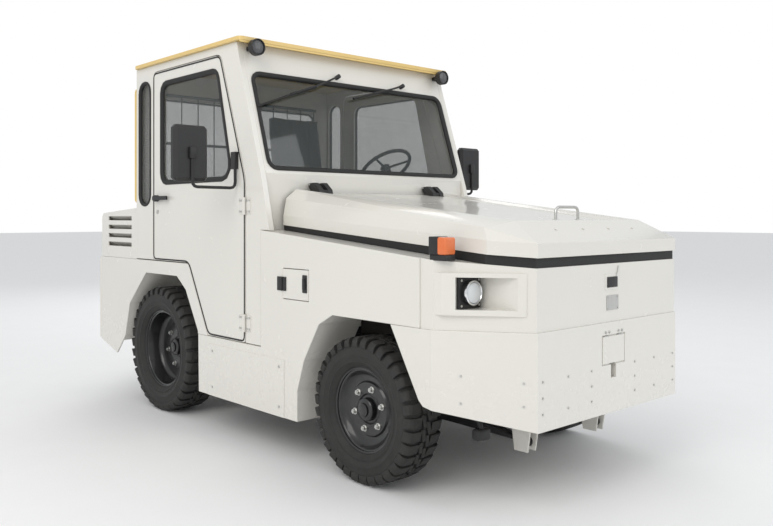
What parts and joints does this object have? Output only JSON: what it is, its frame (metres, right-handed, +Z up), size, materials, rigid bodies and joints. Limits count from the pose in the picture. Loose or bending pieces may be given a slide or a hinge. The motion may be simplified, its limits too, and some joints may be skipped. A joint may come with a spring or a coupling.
{
  "type": "airport baggage tug",
  "caption": "Four-wheeled airport baggage tow tractor with a closed two-door cab, lifting hood, steered front wheels and a rear tow jaw.",
  "frame": {"origin": "on the floor, under the middle of the vehicle's overall length and width", "axes": "front towards -Y, the driver's left towards +X, +Z up"},
  "size_m": [2.556, 4, 2.358],
  "materials": {
    "cream_paint": "gloss",
    "chassis_paint": "satin",
    "black_wheel_paint": "gloss",
    "black_plastic": "matte",
    "tyre_rubber": "matte",
    "seal_rubber": "matte",
    "green_glass": "clear",
    "seat_vinyl": "satin",
    "cast_iron": "rough",
    "steel": "satin",
    "yellow_paint": "satin",
    "amber_lens": "gloss",
    "lamp_glass": "clear",
    "mirror_glass": "polished"
  },
  "bodies": {
    "body": {"front_bumper": "cream_paint", "nose_panel": "cream_paint", "hood_seal": "seal_rubber", "cab_front": "cream_paint", "windscreen": "green_glass", "cab_rear": "cream_paint", "rear_window": "green_glass", "cab_floor": "chassis_paint", "roof_plate": "cream_paint", "dashboard": "black_plastic", "seat_base": "chassis_paint", "seat_cushion": "seat_vinyl", "seat_backrest": "seat_vinyl", "rear_plate": "cream_paint", "rear_cover": "cream_paint", "rear_coupling": "cast_iron", "chassis_frame": "chassis_paint", "engine_block": "cast_iron", "front_axle": "chassis_paint", "rear_axle": "chassis_paint", "front_fender_right": "cream_paint", "cab_side_right": "cream_paint", "quarter_glass_right": "green_glass", "roof_lamp_right": "black_plastic", "rear_fender_right": "cream_paint", "front_spring_right": "chassis_paint", "headlamp_right": "black_plastic", "front_fender_left": "cream_paint", "cab_side_left": "cream_paint", "quarter_glass_left": "green_glass", "roof_lamp_left": "black_plastic", "rear_fender_left": "cream_paint", "front_spring_left": "chassis_paint", "headlamp_left": "black_plastic"},
    "hood": {"hood": "cream_paint", "hood_hinge_right": "black_plastic", "hood_hinge_left": "black_plastic"},
    "fuel_hatch": {"fuel_hatch": "cream_paint"},
    "coupling_flap": {"coupling_flap": "cream_paint"},
    "steering_wheel": {"steering_wheel": "black_plastic"},
    "right_door": {"door_right": "cream_paint", "door_glass_right": "green_glass", "door_handle_right": "black_plastic", "mirror_right": "black_plastic"},
    "right_knuckle": {"knuckle_right": "chassis_paint"},
    "right_front_wheel": {"front_rim_right": "black_wheel_paint", "front_tyre_right": "tyre_rubber"},
    "right_rear_wheel": {"rear_rim_right": "black_wheel_paint", "rear_tyre_right": "tyre_rubber"},
    "left_door": {"door_left": "cream_paint", "door_glass_left": "green_glass", "door_handle_left": "black_plastic", "mirror_left": "black_plastic"},
    "left_knuckle": {"knuckle_left": "chassis_paint"},
    "left_front_wheel": {"front_rim_left": "black_wheel_paint", "front_tyre_left": "tyre_rubber"},
    "left_rear_wheel": {"rear_rim_left": "black_wheel_paint", "rear_tyre_left": "tyre_rubber"}
  },
  "joints": [
    {"name": "hood_hinge", "type": "hinge", "parent": "body", "child": "hood", "pos_m": [0, -0.32, 1.5], "axis": [-1, 0, 0], "range_deg": [0, 60]},
    {"name": "right_door_hinge", "type": "hinge", "parent": "body", "child": "right_door", "pos_m": [-0.8715, -0.156, 1.04], "axis": [0, 0, 1], "range_deg": [0, 75]},
    {"name": "left_door_hinge", "type": "hinge", "parent": "body", "child": "left_door", "pos_m": [0.8715, -0.156, 1.04], "axis": [0, 0, -1], "range_deg": [0, 75]},
    {"name": "fuel_hatch_hinge", "type": "hinge", "parent": "body", "child": "fuel_hatch", "pos_m": [-0.8655, -0.515, 0.9535], "axis": [0, 0, -1], "range_deg": [0, 100]},
    {"name": "coupling_flap_hinge", "type": "hinge", "parent": "body", "child": "coupling_flap", "pos_m": [0, -2, 0.75], "axis": [-1, 0, 0], "range_deg": [0, 90]},
    {"name": "steering_wheel_turn", "type": "hinge", "parent": "body", "child": "steering_wheel", "pos_m": [0.43, 0.05, 1.65], "axis": [0, 0.6157, 0.788], "range_deg": [-540, 540]},
    {"name": "right_steer", "type": "hinge", "parent": "body", "child": "right_knuckle", "pos_m": [-0.59, -1.103, 0.3625], "axis": [0, 0, 1], "range_deg": [-35, 35]},
    {"name": "right_front_roll", "type": "hinge", "parent": "right_knuckle", "child": "right_front_wheel", "pos_m": [-0.718, -1.103, 0.3625], "axis": [1, 0, 0], "continuous": true},
    {"name": "right_rear_roll", "type": "hinge", "parent": "body", "child": "right_rear_wheel", "pos_m": [-0.706, 0.954, 0.4177], "axis": [1, 0, 0], "continuous": true},
    {"name": "left_steer", "type": "hinge", "parent": "body", "child": "left_knuckle", "pos_m": [0.59, -1.103, 0.3625], "axis": [0, 0, 1], "range_deg": [-35, 35]},
    {"name": "left_front_roll", "type": "hinge", "parent": "left_knuckle", "child": "left_front_wheel", "pos_m": [0.718, -1.103, 0.3625], "axis": [1, 0, 0], "continuous": true},
    {"name": "left_rear_roll", "type": "hinge", "parent": "body", "child": "left_rear_wheel", "pos_m": [0.706, 0.954, 0.4177], "axis": [1, 0, 0], "continuous": true}
  ],
  "couplings": [
    {"joint": "left_steer", "follows": "right_steer", "ratio": 1}
  ]
}
